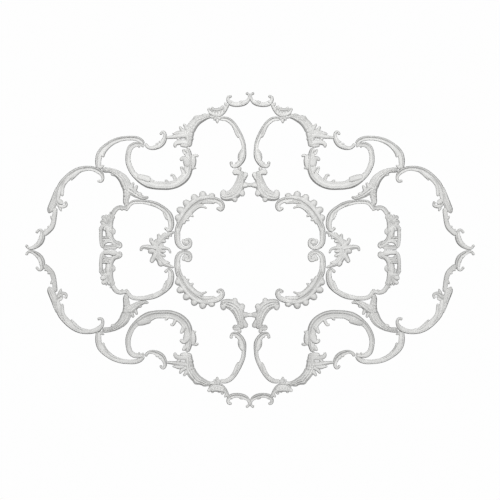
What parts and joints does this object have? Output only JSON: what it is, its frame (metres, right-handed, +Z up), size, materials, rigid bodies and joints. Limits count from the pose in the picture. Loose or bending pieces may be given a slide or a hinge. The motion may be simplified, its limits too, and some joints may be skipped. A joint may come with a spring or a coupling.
{
  "type": "ceiling medallion",
  "caption": "Oblong rococo ceiling medallion of separate flat-backed plaster castings: C scrolls, acanthus branches, shell work and palmettes around an open middle, mirrored about both axes.",
  "frame": {"origin": "middle of the composition, in the plane of the ceiling that the flat backs lie on", "axes": "+X along the long axis, +Y along the short axis, +Z up into the ceiling, so the relief hangs towards -Z"},
  "size_m": [3.597, 2.525, 0.0331],
  "materials": {
    "plaster": "bare matte gypsum plaster, light grey, slightly uneven"
  },
  "bodies": {
    "root": {"corner_scroll_ne": "plaster", "corner_scroll_nw": "plaster", "corner_scroll_se": "plaster", "corner_scroll_sw": "plaster", "tip_scroll_ne": "plaster", "tip_scroll_nw": "plaster", "tip_scroll_se": "plaster", "tip_scroll_sw": "plaster", "side_stem_ne": "plaster", "side_stem_nw": "plaster", "side_stem_se": "plaster", "side_stem_sw": "plaster", "crescent_scroll_ne": "plaster", "crescent_scroll_nw": "plaster", "crescent_scroll_se": "plaster", "crescent_scroll_sw": "plaster", "kidney_scroll_ne": "plaster", "kidney_scroll_nw": "plaster", "kidney_scroll_se": "plaster", "kidney_scroll_sw": "plaster", "bridge_scroll_ne": "plaster", "bridge_scroll_nw": "plaster", "bridge_scroll_se": "plaster", "bridge_scroll_sw": "plaster", "upper_acanthus_ne": "plaster", "upper_acanthus_nw": "plaster", "upper_acanthus_se": "plaster", "upper_acanthus_sw": "plaster", "pear_scroll_ne": "plaster", "pear_scroll_nw": "plaster", "pear_scroll_se": "plaster", "pear_scroll_sw": "plaster", "top_scroll_ne": "plaster", "top_scroll_nw": "plaster", "top_scroll_se": "plaster", "top_scroll_sw": "plaster", "shell_spray_ne": "plaster", "shell_spray_nw": "plaster", "shell_spray_se": "plaster", "shell_spray_sw": "plaster", "inner_acanthus_ne": "plaster", "inner_acanthus_nw": "plaster", "inner_acanthus_se": "plaster", "inner_acanthus_sw": "plaster", "cockscomb_scroll_ne": "plaster", "cockscomb_scroll_nw": "plaster", "cockscomb_scroll_se": "plaster", "cockscomb_scroll_sw": "plaster", "inner_panel_scroll_ne": "plaster", "inner_panel_scroll_nw": "plaster", "inner_panel_scroll_se": "plaster", "inner_panel_scroll_sw": "plaster", "trellis_column_ne": "plaster", "trellis_column_nw": "plaster", "trellis_column_se": "plaster", "trellis_column_sw": "plaster", "centre_rocaille_n": "plaster", "centre_rocaille_s": "plaster", "palmette_e": "plaster", "palmette_w": "plaster"}
  },
  "joints": []
}
